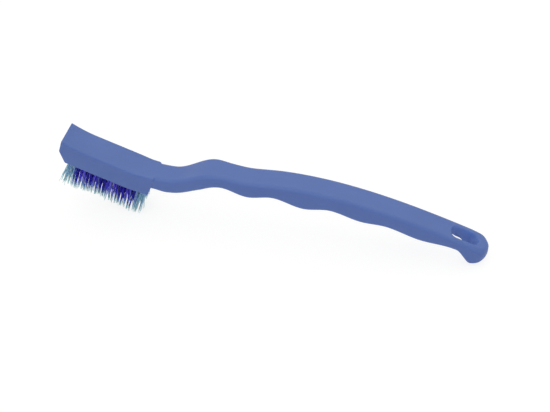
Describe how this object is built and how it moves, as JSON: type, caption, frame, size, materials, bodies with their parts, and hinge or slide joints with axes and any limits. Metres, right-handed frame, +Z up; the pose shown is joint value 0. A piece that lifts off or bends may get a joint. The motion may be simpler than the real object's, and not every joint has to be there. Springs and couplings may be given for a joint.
{
  "type": "crevice brush",
  "caption": "Long narrow scrubbing brush with a curved finger-grip handle, a slot to hang it by, and stiff tufts in rows on a tilted block head.",
  "frame": {"origin": "on the table, under the middle of the brush's outline, with the brush standing on its rearmost bristle tips and its end knob", "axes": "+X along the brush from the head to the hang slot, +Y across it, +Z up"},
  "size_m": [0.2316, 0.0158, 0.0491],
  "materials": {
    "handle_plastic": "satin moulded polypropylene",
    "bristle": "clear tinted filament",
    "anchor_metal": "plain wire"
  },
  "bodies": {
    "root": {"handle": "handle_plastic", "anchors": "anchor_metal", "tuft_right_01": "bristle", "tuft_right_02": "bristle", "tuft_right_03": "bristle", "tuft_right_04": "bristle", "tuft_right_05": "bristle", "tuft_right_06": "bristle", "tuft_right_07": "bristle", "tuft_right_08": "bristle", "tuft_right_09": "bristle", "tuft_right_10": "bristle", "tuft_right_11": "bristle", "tuft_right_12": "bristle", "tuft_middle_01": "bristle", "tuft_middle_02": "bristle", "tuft_middle_03": "bristle", "tuft_middle_04": "bristle", "tuft_middle_05": "bristle", "tuft_middle_06": "bristle", "tuft_middle_07": "bristle", "tuft_middle_08": "bristle", "tuft_middle_09": "bristle", "tuft_middle_10": "bristle", "tuft_middle_11": "bristle", "tuft_left_01": "bristle", "tuft_left_02": "bristle", "tuft_left_03": "bristle", "tuft_left_04": "bristle", "tuft_left_05": "bristle", "tuft_left_06": "bristle", "tuft_left_07": "bristle", "tuft_left_08": "bristle", "tuft_left_09": "bristle", "tuft_left_10": "bristle", "tuft_left_11": "bristle", "tuft_left_12": "bristle"}
  },
  "joints": []
}
